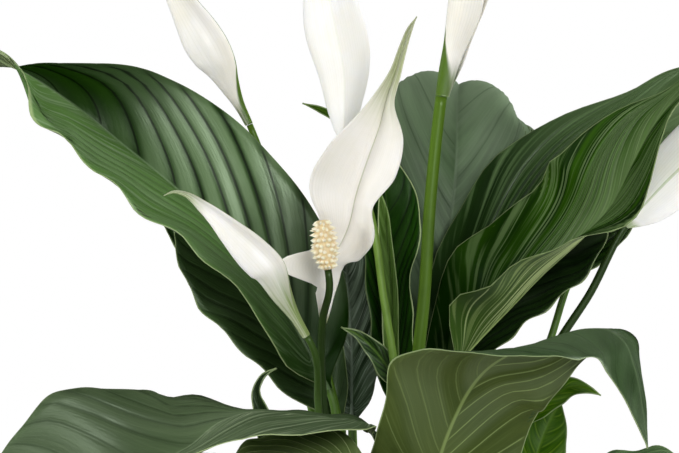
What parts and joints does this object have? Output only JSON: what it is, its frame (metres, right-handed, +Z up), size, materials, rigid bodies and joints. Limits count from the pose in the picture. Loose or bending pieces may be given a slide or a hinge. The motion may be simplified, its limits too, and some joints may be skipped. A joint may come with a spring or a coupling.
{
  "type": "potted peace lily",
  "caption": "Potted flowering plant with broad ribbed leaves on stalks, white hooded flowers on tall stems, soil and a plain round pot that stands on its flat base.",
  "frame": {"origin": "centre of the pot's flat foot, on the surface that it stands on", "axes": "+Z up, -Y towards the side that the picture shows, +X to its right"},
  "size_m": [0.532, 0.4234, 0.6268],
  "materials": {
    "leaf": "satin green",
    "leaf_shade": "satin dark green",
    "leaf_young": "satin light green",
    "pot": "matt fired clay",
    "soil": "matt dark brown",
    "spadix": "matt cream",
    "spathe": "matt white",
    "stem": "satin green"
  },
  "bodies": {
    "root": {"flower_left_spathe": "spathe", "flower_left_stem": "stem", "flower_open_spadix": "spadix", "flower_open_spathe": "spathe", "flower_open_stem": "stem", "flower_right_spadix": "spadix", "flower_right_spathe": "spathe", "flower_right_stem": "stem", "flower_tall_spathe": "spathe", "flower_tall_stem": "stem", "flower_top_centre_spadix": "spadix", "flower_top_centre_spathe": "spathe", "flower_top_centre_stem": "stem", "flower_top_left_spathe": "spathe", "flower_top_left_stem": "stem", "leaf_back_centre": "leaf", "leaf_back_far": "leaf", "leaf_back_left": "leaf", "leaf_back_low_left": "leaf", "leaf_back_low_right": "leaf", "leaf_back_right": "leaf", "leaf_front": "leaf", "leaf_furled_left": "leaf_shade", "leaf_inner": "leaf_shade", "leaf_left_shaded": "leaf_shade", "leaf_low_front": "leaf", "leaf_low_left": "leaf", "leaf_low_right": "leaf", "leaf_lower_left": "leaf", "leaf_right": "leaf", "leaf_right_behind": "leaf_shade", "leaf_right_under": "leaf_shade", "leaf_small_centre": "leaf", "leaf_small_right": "leaf_young", "leaf_upper_left": "leaf", "leaf_upright_dark": "leaf_shade", "leaf_young_right": "leaf_young", "leaf_young_rolled": "leaf_young", "leaf_young_tip": "leaf_young", "pot": "pot", "soil": "soil"}
  },
  "joints": []
}
